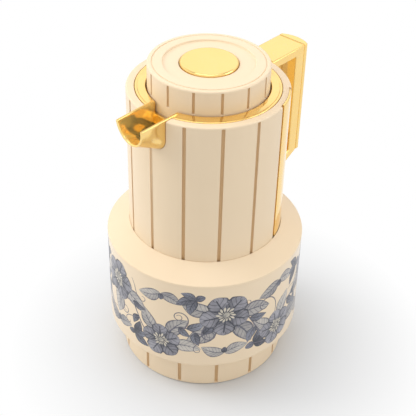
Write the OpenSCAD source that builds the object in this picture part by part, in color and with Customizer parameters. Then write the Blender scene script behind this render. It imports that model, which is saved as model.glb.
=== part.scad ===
// Vacuum jug with a turn-out stopper and a press-to-pour button.
// Millimetres, +Z up, base centre at the origin, spout along -X, handle along +X.

/* [Case] */
// Outer radius of the drum
drum_r = 75; // [68:0.5:90]
// Step of the foot in from the drum
foot_step = 10; // [8:0.1:12]
// Height of the foot under the drum
foot_h = 30.5; // [24:0.5:40]
// Height of the drum from the foot to its upper edge
drum_h = 80.3; // [60:0.1:100]
// Width of the shoulder between the drum and the neck
shoulder_w = 17.2; // [15:0.1:24]
// Rise of the shoulder from the drum to the neck
shoulder_h = 9.2; // [6:0.1:14]
// Wall of the plastic casings
case_t = 2.4; // [1.6:0.1:4]
// Number of flutes round the case
flutes = 14; // [8:1:24]
// Depth of a neck flute
flute_d = 1.5; // [0.6:0.1:1.8]
// Radius of the round cutter of a neck flute
flute_cut_r = 1.4; // [0.6:0.1:2]
// Thickness of the printed sleeve
sleeve_t = 0.75; // [0.3:0.05:1.5]

/* [Foot] */
// Thickness of the rubber pad
pad_h = 2.5; // [1:0.5:5]
// Setback of the rubber pad from the foot's edge
pad_step = 9; // [4:0.5:20]
// Lift of the foot's edge off the table
foot_lift = 0.5; // [0.2:0.1:2]
// Height of the screw spigot above the foot
spigot_h = 12; // [6:0.5:16]

/* [Spout and collar] */
// Width of the neck's rim outside the collar
rim_w = 6.2; // [5:0.1:9]
// Width of the plated collar round the well
collar_w = 7.7; // [5:0.1:9]
// Wall of the collar and the spout
plate_t = 1.8; // [1.2:0.1:3]
// Depth of the stopper well below the cap's lip
well_d = 38.8; // [35:0.1:44]
// Half width of the spout at the root
spout_hw = 12.3; // [10:0.1:16]
// Drop of the spout's root below the well floor
spout_drop = 3.3; // [2:0.1:8]
// Reach of the spout's lip beyond the neck
spout_out = 20.4; // [10:0.1:30]
// Rise of the spout's side edges over the rim
spout_rise = 1.1; // [0.5:0.1:6]
// Depth of the spout at its lip
lip_depth = 16.2; // [10:0.1:20]

/* [Handle] */
// Width of the handle
handle_w = 25; // [16:0.5:34]
// Room for the fingers between the neck and the grip
grip_room = 27.8; // [24:0.1:40]
// Depth of the grip's front part
grip_t = 9.6; // [7:0.1:14]
// Depth of the crowned back plate
back_t = 6.8; // [4:0.1:8]
// Thickness of the top arm
arm_t = 6.8; // [4:0.1:12]
// Upright thickness of the sloping lower arm
low_arm_t = 7.8; // [5:0.1:12]
// Slope of the lower arm in degrees
arm_slope = 27.1; // [15:0.1:35]
// Thickness of the strap on the neck
strap_t = 4.1; // [4:0.1:8]

/* [Stopper] */
// Height of the cap's lip, the top of the jug
cap_z = 250.8; // [225:0.1:290]
// Rise of the cap's lip over the rim
cap_rise = 18.2; // [14:0.1:24]
// Gap round the cap in the well
cap_gap = 1; // [0.6:0.1:4]
// Wall of the cap
cap_t = 2.2; // [1.5:0.1:3]
// Radius of the press button
button_r = 20.55; // [14:0.05:22]
// Rise of the button over the cap's lip
button_rise = 0.2; // [0:0.1:2]
// Travel of the press button
press = 3; // [1:0.5:5]
// Outer radius of the stopper's barrel
barrel_r = 19; // [15:0.5:20]
// Radius of the valve stem
stem_r = 3; // [2:0.1:4]

/* [Liner] */
// Room between the liner and the neck casing
liner_room = 1.8; // [1:0.1:5]
// Thickness of each glass wall
glass_t = 1.6; // [1:0.1:2.5]
// Space between the glass walls
liner_gap = 3.5; // [2:0.1:8]
// Bore of the liner's mouth over the stopper's barrel
mouth_gap = 1.5; // [1:0.1:3]

/* [Hidden] */
$fn = 96;
fit = 0.05;               // radial clearance of parts that fit together
run = 0.3;                // clearance of parts that only pass each other
over = 4;                 // overshoot of a cut past the face it opens
stave = 360 / flutes;
cream = "#ece0c6";
gold = "#d9ae55";
white = "#eeeeea";
rubber = "#46423e";
silicone = "#d8d6cf";
glass = "#b9c2c6";
steel = "#9a9c9e";
// Radii, all from the drum's.
foot_r = drum_r - foot_step;
neck_r = drum_r - shoulder_w;
neck_in = neck_r - case_t;
collar_r = neck_r - rim_w;
well_r = collar_r - collar_w;
cap_r = well_r - cap_gap;
cap_in = cap_r - cap_t;
liner_r = neck_in - liner_room;
liner_in_r = liner_r - glass_t - liner_gap;
spout_reach = neck_r + spout_out;
grip_in_x = neck_r + grip_room;
grip_joint_x = grip_in_x + grip_t;
grip_out_x = grip_joint_x + back_t;
// Heights, from the table up to the neck and from the cap's lip down.
drum_edge_z = foot_h + drum_h;
neck_foot_z = drum_edge_z + shoulder_h;
rim_z = cap_z - cap_rise;
well_z = cap_z - well_d;
spout_root_z = well_z - spout_drop;
spout_top_z = rim_z + spout_rise;
button_z = cap_z + button_rise;
// Foot and drum.
edge_w = 1.2;             // broken edge of the mouldings
edge_h = 0.35;
hole_r = foot_r - 4;      // screw-in opening in the drum's floor
spigot_t = 2.5;
floor_t = 2.5;
cap_flute_d = 1.2;
cap_flute_cut_r = 1.15;
drum_floor_t = 2.6;
web_z = foot_h + spigot_h + 3.9;
web_in = neck_in - 0.4;
sleeve_z0 = foot_h + 1.8;
sleeve_z1 = drum_edge_z - 1.2;
drum_in = drum_r - sleeve_t - case_t;
boss_r = 20;
boss_z = 12;
// Neck, collar and spout.
strip_in = neck_r - flute_d - 0.1;
strip_gap = 1.39;         // half a flute's width, in degrees
lip_r = collar_r + run;
ledge_z = rim_z - 3;
ledge_w = 2.9;
spout_z0 = spout_root_z - run;
spout_rc = 8.5;
lip_lean = 7.5;           // degrees
lip_edge = 0.7;
gate_h = 7.6;             // opening over the well's wall towards the spout
drain_w = 16;             // opening at the foot of the same wall
drain_h = 5;
// Handle.
handle_top_z = rim_z - 0.1;
handle_foot_z = neck_foot_z + 0.8;
handle_root_x = neck_r + 1.2;
screw_z = [neck_foot_z + 5.2, rim_z - 18.6];
screw_r = 1.3;
screw_in = 3.4;           // reach of a screw into the strap
head_r = 2.6;
head_t = 1.1;
head_x = neck_in - 0.1;
pin_r = 1.5;
pin_in = 5;
crown_r = 23;
// Mouth ring and stopper.
lip_z = well_z - 9;       // top of the glass liner
gasket_t = 2;
land_r = barrel_r + 2.7;  // lands of the mouth ring's thread
land_h = 1.6;
ring_bore = land_r + 0.8;
seal_r = barrel_r + 5;
ring_r = seal_r + 3.2;    // body of the mouth ring
ring_out_r = ring_r + 5.8;
seal_z = well_z + 0.6;
shoulder_z = seal_z + 1.9;
skirt_z = well_z + 5.5;
cap_floor = cap_z - 1.1;
cap_plate_t = 3;
dish_r = cap_r - 10.3;    // dished middle of the cap's top
barrel_t = 2.2;
thread_h = 6.8;
flange_z = well_z + 9;
flange_t = 2.5;
guide_h = 7;
port_w = 9;
port_h = 4;
ports = 6;
plunger_z = cap_z - 6.4;
plunger_t = 2;
hub_z = plunger_z - press - 5.4;
valve_z = well_z - 29;
valve_t = 3;
barrel_z = valve_z + 5;
gasket_w = 3.5;
stem_foot_t = 2.5;        // button on the stem's lower end
spring_r = 8;
wire_r = 0.5;
spring_turns = 6;
// Liner.
mouth_r = barrel_r + mouth_gap;
liner_neck_r = mouth_r + 2 * glass_t + 0.8;
bottle_z = 24;
dome_h = 22;
body_z = lip_z - 40;
bottle_sh = 30;
inner_lift = 7;           // gap between the two bottoms
tip_z = 18;
tip_r = 3;
spacer_z = 70;
spacer_h = 5;
centre_z = neck_foot_z - 20;
centre_h = 8;
cushion_r = 7;

// A rectangle of a turned section, from (r0, z0) to (r1, z1).
module band(r0, r1, z0, z1) {
  translate([r0, z0]) square([r1 - r0, z1 - z0]);
}

// A ring with square edges.
module ring(r0, r1, z0, z1) {
  rotate_extrude() band(r0, r1, z0, z1);
}

// Round-bottomed upright flutes cut into a cylinder of radius r, but for those numbered in skip.
module flute_cuts(r, d, cr, z0, z1, turn = 0, skip = []) {
  for (k = [0 : flutes - 1]) if (len([for (s = skip) if (s == k) s]) == 0)
    rotate([0, 0, turn + k * stave])
      translate([r - d + cr, 0, z0])
        cylinder(r = cr, h = z1 - z0, $fn = 24);
}

// A cylinder along +X from x0 to x1 at height z.
module rod_x(r, x0, x1, z, n = 32) {
  translate([x0, 0, z]) rotate([0, 90, 0]) cylinder(r = r, h = x1 - x0, $fn = n);
}

// A U in the YZ plane: half width hw, bottom zb, corner radius rc, open top zt.
module u_shape(hw, zb, rc, zt) {
  translate([-hw, zb + rc]) square([2 * hw, zt - zb - rc]);
  translate([rc - hw, zb]) square([2 * (hw - rc), rc + 0.01]);
  for (s = [-1, 1]) translate([s * (hw - rc), zb + rc]) circle(r = rc, $fn = 32);
}

// The same U swept along -X from x0 to x1 (distances from the axis).
module u_run(hw, zb, rc, zt, x0, x1) {
  translate([-x0, 0, 0]) rotate([90, 0, -90]) linear_extrude(x1 - x0) u_shape(hw, zb, rc, zt);
}

// The leaning lip section of the spout.
module lip_slab(hw, depth, rise, t) {
  translate([-spout_reach + 0.2, 0, spout_top_z]) rotate([0, -lip_lean, 0]) rotate([90, 0, -90])
    linear_extrude(t) {
      intersection() {
        translate([0, -lip_edge]) scale([hw, depth]) circle(r = 1, $fn = 40);
        translate([-hw, -lip_edge - depth]) square([2 * hw, depth]);
      }
      translate([-hw, -lip_edge]) square([2 * hw, lip_edge + rise]);
    }
}

function arc(cx, cz, rx, rz, a0, a1, n) =
  [for (i = [0 : n]) let (a = a0 + (a1 - a0) * i / n) [cx + rx * cos(a), cz + rz * sin(a)]];

// Outline of a bottle: domed bottom, straight body, round shoulder, neck.
module bottle(r, rn, zb, hb, zs, hs, zt) {
  polygon(concat([[0, zt], [0, zb]], arc(0, zb + hb, r, hb, -80, 0, 10),
                 arc(rn, zs, r - rn, hs, 0, 90, 10), [[rn, zt]]));
}

module base_pad() color(rubber) cylinder(r = foot_r - pad_step, h = pad_h);

module base_cover() color(cream) difference() {
  rotate_extrude() {
    band(0, foot_r - 1, pad_h, pad_h + floor_t);
    polygon([[foot_r - floor_t, foot_lift], [foot_r - 1, foot_lift], [foot_r, foot_lift + 1],
             [foot_r, foot_h], [foot_r - floor_t, foot_h]]);
    band(hole_r - fit - spigot_t, foot_r - 1, foot_h - floor_t, foot_h);
    band(hole_r - fit - spigot_t, hole_r - fit, foot_h - floor_t, foot_h + spigot_h);
    band(0, boss_r, pad_h + 1, boss_z);
  }
  flute_cuts(foot_r, flute_d, flute_cut_r, foot_lift + 1, foot_h - 2);
}

module drum_casing() color(cream) rotate_extrude()
  polygon([[hole_r, foot_h], [drum_r - 1.3, foot_h], [drum_r - 0.4, foot_h + 0.4], [drum_r, foot_h + 1.3],
           [drum_r, sleeve_z0], [drum_r - sleeve_t - fit, sleeve_z0], [drum_r - sleeve_t - fit, sleeve_z1],
           [drum_r, sleeve_z1], [drum_r, drum_edge_z - 0.5], [drum_r - 0.6, drum_edge_z + 0.3],
           [neck_r + fit, neck_foot_z], [neck_r + fit, neck_foot_z - case_t - run],
           [drum_in, drum_edge_z - case_t + 1.4], [drum_in, foot_h + drum_floor_t],
           [hole_r + case_t, foot_h + drum_floor_t], [hole_r + case_t, web_z], [web_in, web_z],
           [web_in, web_z - case_t], [hole_r, web_z - case_t]]);

module decor_sleeve() color("#e9dfd0") ring(drum_r - sleeve_t, drum_r, sleeve_z0, sleeve_z1);

// The recess of a trim strip takes in the flutes on both sides of it.
module strip_cut(a0) {
  rotate([0, 0, a0 - strip_gap]) rotate_extrude(angle = stave + 2 * strip_gap)
    band(strip_in, neck_r + 1, neck_foot_z, rim_z + 1);
}

module neck_casing() color(cream) difference() {
  rotate_extrude()
    polygon([[neck_in, web_z], [neck_r, web_z], [neck_r, rim_z - edge_w], [neck_r - edge_h, rim_z - edge_h],
             [neck_r - edge_w, rim_z], [lip_r, rim_z], [lip_r, ledge_z], [lip_r - ledge_w, ledge_z],
             [lip_r - ledge_w, ledge_z - case_t], [neck_in, ledge_z - case_t]]);
  flute_cuts(neck_r, flute_d, flute_cut_r, neck_foot_z, rim_z - edge_w - 0.2,
             skip = [2, 3, flutes - 3, flutes - 2]);
  strip_cut(2 * stave);
  strip_cut(-3 * stave);
  u_run(spout_hw + run, spout_z0, spout_rc + run, rim_z + over, lip_r - 2 * over, neck_r + over);
  for (z = screw_z) rod_x(screw_r + fit, neck_in - over, neck_r + over, z);
}

module trim_strip(a0) {
  rotate([0, 0, a0 + strip_gap]) rotate_extrude(angle = stave - 2 * strip_gap)
    polygon([[strip_in + fit, neck_foot_z], [neck_r, neck_foot_z], [neck_r, rim_z - edge_w],
             [neck_r - edge_h, rim_z - edge_h], [neck_r - edge_w, rim_z], [strip_in + fit, rim_z]]);
}

module trim_strip_left() color(gold) trim_strip(-3 * stave);

module trim_strip_right() color(gold) trim_strip(2 * stave);

module spout_collar() color(gold) difference() {
  union() {
    rotate_extrude()
      polygon([[ring_r + fit, well_z - 2], [well_r + plate_t, well_z - 2], [well_r + plate_t, ledge_z],
               [collar_r, ledge_z], [collar_r, rim_z - 0.2], [collar_r - 0.5, rim_z + 0.3],
               [collar_r - 1.4, rim_z + 0.3], [collar_r - 2.2, rim_z - 0.1], [well_r + 0.7, rim_z + 0.6],
               [well_r, rim_z + 0.1], [well_r, well_z], [ring_r + fit, well_z]]);
    difference() {
      union() {
        u_run(spout_hw, spout_root_z, spout_rc, rim_z - 0.2, well_r - 2, collar_r - 1);
        u_run(spout_hw, spout_root_z, spout_rc, spout_top_z, collar_r - 1, neck_r);
      }
      translate([0, 0, spout_root_z - over]) cylinder(r = well_r, h = spout_top_z - spout_root_z + 2 * over);
    }
    hull() {
      u_run(spout_hw, spout_root_z, spout_rc, spout_top_z, neck_r - 0.2, neck_r);
      lip_slab(spout_hw - run, lip_depth, 0, 0.2);
    }
  }
  difference() {
    u_run(spout_hw - plate_t, spout_root_z + plate_t, spout_rc - plate_t, spout_top_z + over, well_r - 2, neck_r);
    translate([0, 0, spout_root_z]) cylinder(r = well_r + plate_t, h = spout_top_z - spout_root_z + 2 * over);
  }
  hull() {
    u_run(spout_hw - plate_t, spout_root_z + plate_t, spout_rc - plate_t, spout_top_z + over,
          neck_r - 0.2, neck_r);
    lip_slab(spout_hw - run - plate_t, lip_depth - plate_t, over, 2);
  }
  translate([-neck_r, plate_t - spout_hw, rim_z - gate_h])
    cube([neck_r - well_r + 3, 2 * (spout_hw - plate_t), gate_h + 2 * over]);
  translate([-well_r - plate_t - 1, -drain_w / 2, well_z]) cube([2 * over, drain_w, drain_h]);
}

// Underside of the sloping lower arm at distance x from the axis.
function arm_z(x) = handle_foot_z + (x - handle_root_x) * tan(arm_slope);

pin_z = [arm_z(grip_joint_x) + 15.7, rim_z - 17.6];

module handle_frame() color(gold) difference() {
  rotate([90, 0, 0]) linear_extrude(handle_w, center = true) difference() {
    polygon([[neck_r - 6, handle_top_z], [grip_joint_x, handle_top_z], [grip_joint_x, arm_z(grip_joint_x)],
             [handle_root_x, handle_foot_z], [neck_r - 6, handle_foot_z]]);
    polygon([[neck_r + strap_t, handle_top_z - arm_t], [grip_in_x, handle_top_z - arm_t],
             [grip_in_x, arm_z(grip_in_x) + low_arm_t], [neck_r + strap_t, arm_z(neck_r + strap_t) + low_arm_t]]);
  }
  translate([0, 0, neck_foot_z]) cylinder(r = neck_r + fit, h = rim_z - neck_foot_z + over);
  for (z = screw_z) rod_x(screw_r + fit, neck_r - 2, neck_r + screw_in + 0.2, z);
  for (z = pin_z) rod_x(pin_r + fit, grip_joint_x - pin_in - run, grip_joint_x + 1, z);
}

module handle_back_plate() color(gold) {
  foot_z = arm_z(grip_joint_x) - run;
  intersection() {
    translate([grip_joint_x, -handle_w / 2, foot_z]) cube([crown_r, handle_w, handle_top_z - foot_z]);
    translate([grip_out_x - crown_r, 0, foot_z - 1]) cylinder(r = crown_r, h = rim_z - foot_z + 2);
  }
  for (z = pin_z) rod_x(pin_r, grip_joint_x - pin_in, grip_joint_x + 0.5, z);
}

module handle_screws() color(steel) for (z = screw_z) {
  rod_x(head_r, head_x - head_t, head_x, z);
  rod_x(screw_r, head_x - 0.2, neck_r + screw_in, z);
}

module mouth_ring() color(white) rotate_extrude()
  polygon([[ring_bore, lip_z + gasket_t], [ring_r, lip_z + gasket_t], [ring_r, well_z], [ring_out_r, well_z],
           [ring_out_r, shoulder_z], [seal_r, shoulder_z], [seal_r, seal_z], [land_r, seal_z],
           [land_r, seal_z - land_h], [ring_bore, seal_z - land_h], [ring_bore, seal_z - 2 * land_h],
           [land_r, seal_z - 2 * land_h], [land_r, seal_z - 3 * land_h], [ring_bore, seal_z - 3 * land_h]]);

module mouth_gasket() color(silicone) ring(mouth_r, liner_neck_r + 0.5, lip_z, lip_z + gasket_t);

module liner_outer() color(glass) {
  rotate_extrude() difference() {
    bottle(liner_r, liner_neck_r, bottle_z, dome_h, body_z, bottle_sh, lip_z - glass_t);
    bottle(liner_r - glass_t, liner_neck_r - glass_t, bottle_z + glass_t, dome_h - glass_t, body_z,
           bottle_sh - glass_t, lip_z);
  }
  translate([0, 0, tip_z]) cylinder(r1 = tip_r - 1.8, r2 = tip_r, h = bottle_z - tip_z + 0.4, $fn = 32);
}

module liner_inner() color(glass) rotate_extrude() {
  z0 = bottle_z + inner_lift;
  dome = dome_h - 3;
  top = body_z - 2;
  sh = bottle_sh - 4;
  difference() {
    bottle(liner_in_r, mouth_r + glass_t, z0, dome, top, sh, lip_z - 0.5);
    bottle(liner_in_r - glass_t, mouth_r, z0 + glass_t, dome - glass_t, top, sh - glass_t, lip_z + 1);
  }
  band(mouth_r, liner_neck_r, lip_z - glass_t, lip_z);
}

module liner_spacers() color(rubber) for (k = [0 : 2]) rotate([0, 0, 57 + k * 120])
  rotate_extrude(angle = 6) band(liner_in_r + fit, liner_r - glass_t - fit, spacer_z, spacer_z + spacer_h);

module liner_centering_ring() color(rubber)
  ring(liner_r + fit, neck_in - fit, centre_z, centre_z + centre_h);

module liner_cushion() color(rubber) rotate_extrude()
  polygon([[cushion_r, boss_z], [boss_r, boss_z], [boss_r, bottle_z + 1.3], [cushion_r, bottle_z - 0.1]]);

module stopper_gasket() color(silicone) ring(barrel_r + run, seal_r - run, seal_z, shoulder_z);

module stopper_body() color(white) difference() {
  rotate_extrude() {
    band(barrel_r - barrel_t, barrel_r, barrel_z, flange_z + 0.5);
    band(barrel_r - 0.5, land_r - run, seal_z - run - thread_h, seal_z - run);
    band(barrel_r - 0.5, seal_r - run, shoulder_z, shoulder_z + 1.8);
    band(stem_r + 0.08, cap_in - fit, flange_z, flange_z + flange_t);
    band(stem_r + 0.08, stem_r + barrel_t, flange_z - guide_h, flange_z + guide_h);
  }
  for (k = [0 : ports - 1]) rotate([0, 0, k * 360 / ports])
    translate([barrel_r - 2 * barrel_t, -port_w / 2, flange_z - port_h - 0.2]) cube([3 * barrel_t, port_w, port_h]);
}

module cap_shell() color(cream) difference() {
  rotate_extrude()
    polygon([[cap_in, skirt_z], [cap_r, skirt_z], [cap_r, cap_z - edge_w], [cap_r - edge_h, cap_z - edge_h],
             [cap_r - edge_w, cap_z], [cap_r - 3, cap_z], [cap_r - 3, cap_z - 0.5], [cap_r - 3.8, cap_z - 0.5],
             [cap_r - 3.8, cap_z], [dish_r, cap_z], [dish_r - 0.4, cap_z - 0.4], [dish_r - 0.4, cap_floor],
             [button_r + edge_h, cap_floor], [button_r + edge_h, cap_floor - cap_plate_t],
             [cap_in, cap_floor - cap_plate_t]]);
  flute_cuts(cap_r, cap_flute_d, cap_flute_cut_r, rim_z + 0.7, cap_z - edge_w - 0.3, 2.2);
}

module button_disc() color(gold) rotate_extrude()
  polygon([[0, button_z], [button_r - 1.5, button_z], [button_r - 0.45, button_z - 0.45], [button_r, button_z - 1.5],
           [button_r, plunger_z + plunger_t], [button_r - 2, plunger_z + plunger_t],
           [button_r - 2, button_z - 2], [0, button_z - 2]]);

module button_plunger() color(white) rotate_extrude() {
  band(0, button_r + 2, plunger_z, plunger_z + plunger_t);
  band(button_r - 4, button_r - 2 - fit, plunger_z, plunger_z + plunger_t + 1.5);
  band(stem_r + fit, stem_r + 2, hub_z, plunger_z + 0.5);
}

// One flat slice of the coil, as long as the wire's rise needs, swept up by a twist.
module button_spring() color(steel) {
  h = plunger_z - flange_z - flange_t;
  half = 180 * 2 * wire_r / (h / spring_turns);
  translate([0, 0, flange_z + flange_t])
    linear_extrude(h, twist = -360 * spring_turns, slices = 18 * spring_turns, convexity = 10, $fn = 0)
      polygon(concat(
        [for (i = [0 : 8]) let (u = -1 + i / 4, w = spring_r + wire_r * sqrt(1 - u * u * 0.98))
          [w * cos(u * half), w * sin(u * half)]],
        [for (i = [0 : 8]) let (u = 1 - i / 4, w = spring_r - wire_r * sqrt(1 - u * u * 0.98))
          [w * cos(u * half), w * sin(u * half)]]));
}

module valve_stem() color(steel) {
  translate([0, 0, valve_z]) cylinder(r = stem_r, h = plunger_z - valve_z);
  translate([0, 0, valve_z - stem_foot_t]) cylinder(r = stem_r + 1.5, h = stem_foot_t);
}

module valve_plate() color(white) ring(stem_r + fit, barrel_r - 1, valve_z, valve_z + valve_t);

module valve_gasket() color(silicone) ring(barrel_r - gasket_w, barrel_r - run, valve_z + valve_t, barrel_z - 0.1);

base_pad();
base_cover();
drum_casing();
decor_sleeve();
neck_casing();
trim_strip_left();
trim_strip_right();
spout_collar();
handle_frame();
handle_back_plate();
handle_screws();
mouth_ring();
mouth_gasket();
liner_outer();
liner_inner();
liner_spacers();
liner_centering_ring();
liner_cushion();
stopper_gasket();
stopper_body();
cap_shell();
button_disc();
button_plunger();
button_spring();
valve_stem();
valve_plate();
valve_gasket();
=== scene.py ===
import math
import random

import bmesh
import bpy
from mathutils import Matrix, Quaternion, Vector


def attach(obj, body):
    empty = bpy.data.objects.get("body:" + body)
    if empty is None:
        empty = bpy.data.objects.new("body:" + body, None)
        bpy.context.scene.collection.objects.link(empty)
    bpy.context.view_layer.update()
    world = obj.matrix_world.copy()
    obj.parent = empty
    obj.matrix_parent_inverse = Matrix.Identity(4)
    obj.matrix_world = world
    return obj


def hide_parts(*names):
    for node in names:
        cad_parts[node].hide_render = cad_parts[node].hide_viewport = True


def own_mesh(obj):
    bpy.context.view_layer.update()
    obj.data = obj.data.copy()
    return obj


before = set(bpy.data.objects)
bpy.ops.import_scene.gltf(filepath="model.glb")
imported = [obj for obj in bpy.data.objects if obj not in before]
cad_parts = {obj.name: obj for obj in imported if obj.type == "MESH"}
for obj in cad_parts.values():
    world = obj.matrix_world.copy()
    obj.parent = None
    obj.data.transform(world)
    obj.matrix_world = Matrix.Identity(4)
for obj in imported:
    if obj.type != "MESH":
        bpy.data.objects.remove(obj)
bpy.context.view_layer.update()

# The foot. A cream moulding that screws into the drum from below and closes the
# case. Fourteen upright flutes run round it, in line with those of the neck, and
# its edge stands half a millimetre clear of the table on a rubber pad.
MM = 0.001
SHARP = 35
TURN_STEPS = 144
HOLLOW_SHADE_DEPTH = 1.2
FLUTES = 14
STAVE = 360 / FLUTES
SKIN = 0.9
FOOT_R = 65
FOOT_IN_R = 62.4
FOOT_LOW = 0.5
PAD_SEAT = 2.5
FOOT_TOP = 30.5
FOOT_FLUTE_LOW = 2.2
FOOT_FLUTE_TOP = 28
FOOT_FLUTE_WIDTH = 2.4
FOOT_FLUTE_DEPTH = 1.5
SPIGOT_R = 60.95
SPIGOT_IN_R = 58.45
SPIGOT_TOP = 42.5
CREAM = (0.85, 0.685, 0.48, 1)
CREAM_SHADE = (0.815, 0.645, 0.44, 1)


def fill(node, **values):
    """Sets inputs of a node; their names are given with underscores for spaces."""
    for key, value in values.items():
        node.inputs[key.replace("_", " ")].default_value = value
    return node


def add(tree, kind, operation=None, **values):
    """A new node with its operation and the values of its inputs."""
    node = tree.nodes.new(kind)
    if operation:
        node.operation = operation
    return fill(node, **values)


def wire(tree, *routes):
    """Links nodes: each route is a node and its output, then a node and its input."""
    for source, output, target, socket in routes:
        tree.links.new(source.outputs[output], target.inputs[socket])


def colour_mix(tree, **colours):
    """A node that mixes colour A with colour B."""
    node = tree.nodes.new("ShaderNodeMix")
    node.data_type = "RGBA"
    return fill(node, **colours)


def named_value(tree, name):
    """A node that reads a value stored on the mesh."""
    node = tree.nodes.new("ShaderNodeAttribute")
    node.attribute_name = name
    return node


def new_material(name):
    """A new material, its node tree and its one surface shader."""
    material = bpy.data.materials.new(name)
    material.use_nodes = True
    return material, material.node_tree, material.node_tree.nodes["Principled BSDF"]


def moulding_grain():
    """A shared group: the drift of tone and the fine grain of a moulded surface."""
    group = bpy.data.node_groups.new("moulding_grain", "ShaderNodeTree")
    for way, names in (("INPUT", ("Cloud size", "Grain size")), ("OUTPUT", ("Tone", "Height"))):
        for name in names:
            group.interface.new_socket(name, in_out=way, socket_type="NodeSocketFloat")
    sizes, results = add(group, "NodeGroupInput"), add(group, "NodeGroupOutput")
    place = add(group, "ShaderNodeTexCoord")
    cloud = add(group, "ShaderNodeTexNoise", Detail=3)
    grain = add(group, "ShaderNodeTexNoise", Detail=2)
    wire(group, (place, "Object", cloud, "Vector"), (place, "Object", grain, "Vector"),
         (sizes, "Cloud size", cloud, "Scale"), (sizes, "Grain size", grain, "Scale"),
         (cloud, "Fac", results, "Tone"), (grain, "Fac", results, "Height"))
    return group


GRAIN = moulding_grain()


def grained(name, colours, sizes, roughness, relief, depth, **more):
    """A skin whose tone drifts between two colours and takes a third where the mesh marks
    its hollows, as painted shade and light; sizes are those of its clouds and of its grain."""
    material, tree, skin = new_material(name)
    fill(skin, **more)
    grain = tree.nodes.new("ShaderNodeGroup")
    grain.node_tree = GRAIN
    fill(grain, Cloud_size=sizes[0], Grain_size=sizes[1])
    tone = colour_mix(tree, A=colours[0], B=colours[1])
    deep = colour_mix(tree, B=colours[2])
    gloss = add(tree, "ShaderNodeMapRange", To_Min=roughness[0], To_Max=roughness[1])
    bump = add(tree, "ShaderNodeBump", Strength=relief, Distance=depth)
    wire(tree, (grain, "Tone", tone, "Factor"), (tone, "Result", deep, "A"),
         (named_value(tree, "hollow_painted_light"), "Fac", deep, "Factor"), (deep, "Result", skin, "Base Color"),
         (grain, "Tone", gloss, "Value"), (gloss, "Result", skin, "Roughness"),
         (grain, "Height", bump, "Height"), (bump, "Normal", skin, "Normal"))
    return material


def moulded_plastic(name, colour, shade, roughness, depth, **more):
    """Moulded plastic with a fine satin grain and painted shade, a deeper colour, in its hollows."""
    # The colour of the painted shade in the hollows: the shade colour darkened.
    deep = [0.92 * c ** 1.75 for c in shade[:3]] + [1]
    gloss = (roughness - 0.05, roughness + 0.07)
    return grained(name, (colour, shade, deep), (22, 2600), gloss, 0.25, depth, **more)


def rounded(corners, steps=4):
    """A closed outline in millimetres: each corner is (r, z), or (r, z, fillet)."""
    outline = []
    for i, corner in enumerate(corners):
        here = Vector(corner[:2])
        if len(corner) == 2:
            outline.append((here.x, here.y))
            continue
        fillet = corner[2]
        back = (Vector(corners[i - 1][:2]) - here).normalized()
        on = (Vector(corners[(i + 1) % len(corners)][:2]) - here).normalized()
        half = back.angle(on) / 2
        start = here + back * fillet / math.tan(half)
        centre = here + (back + on).normalized() * fillet / math.sin(half)
        end = here + on * fillet / math.tan(half)
        first = math.atan2(start.y - centre.y, start.x - centre.x)
        last = math.atan2(end.y - centre.y, end.x - centre.x)
        sweep = (last - first + math.pi) % math.tau - math.pi
        for k in range(steps + 1):
            turn = first + sweep * k / steps
            outline.append((centre.x + fillet * math.cos(turn), centre.y + fillet * math.sin(turn)))
    return outline


def even_shading(piece):
    """Flat faces stay flat beside their rounded edges."""
    weighted = piece.modifiers.new("even shading", "WEIGHTED_NORMAL")
    weighted.keep_sharp = True
    weighted.weight = 80


def linked(name, data):
    """A new object in the scene."""
    piece = bpy.data.objects.new(name, data)
    bpy.context.scene.collection.objects.link(piece)
    return piece


def solid(name, points, faces, finish, sharp=SHARP, hollow_painted_light=None):
    """A closed mesh from points in millimetres, with its faces turned outwards; the last
    argument says how deep in a groove each point lies, where the finish paints shade and light."""
    mesh = bpy.data.meshes.new(name)
    mesh.from_pydata([tuple(c * MM for c in p) for p in points], [], faces)
    if hollow_painted_light:
        mesh.attributes.new("hollow_painted_light", "FLOAT", "POINT").data.foreach_set("value", hollow_painted_light)
    work = bmesh.new()
    work.from_mesh(mesh)
    bmesh.ops.remove_doubles(work, verts=work.verts, dist=2e-7)
    bmesh.ops.dissolve_degenerate(work, dist=1e-8, edges=work.edges)
    bmesh.ops.recalc_face_normals(work, faces=work.faces)
    work.to_mesh(mesh)
    work.free()
    mesh.shade_smooth()
    mesh.set_sharp_from_angle(angle=math.radians(sharp))
    mesh.materials.append(finish)
    return linked(name, mesh)


def turned(name, outline, finish, angles=None, radius_at=None):
    """A turned solid: the outline taken round the axis, its radius changed by radius_at."""
    angles = angles or [i * 360 / TURN_STEPS for i in range(TURN_STEPS)]
    rows = len(outline)
    points, hollow_painted_light = [], []
    for angle in angles:
        side, front = math.cos(math.radians(angle)), math.sin(math.radians(angle))
        for r, z in outline:
            reach = radius_at(angle, r, z) if radius_at else r
            points.append((reach * side, reach * front, z))
            # How deep the point lies below the outline: where the finish paints shade in flutes and
            # threads.
            hollow_painted_light.append(min(1, abs(r - reach) / HOLLOW_SHADE_DEPTH))
    faces = []
    for i in range(len(angles)):
        here, there = i * rows, (i + 1) % len(angles) * rows
        for j in range(rows):
            k = (j + 1) % rows
            if outline[j][0] or outline[k][0]:
                faces.append((here + j, here + k, there + k, there + j))
    piece = solid(name, points, faces, finish, hollow_painted_light=hollow_painted_light if radius_at else None)
    even_shading(piece)
    return piece


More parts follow.
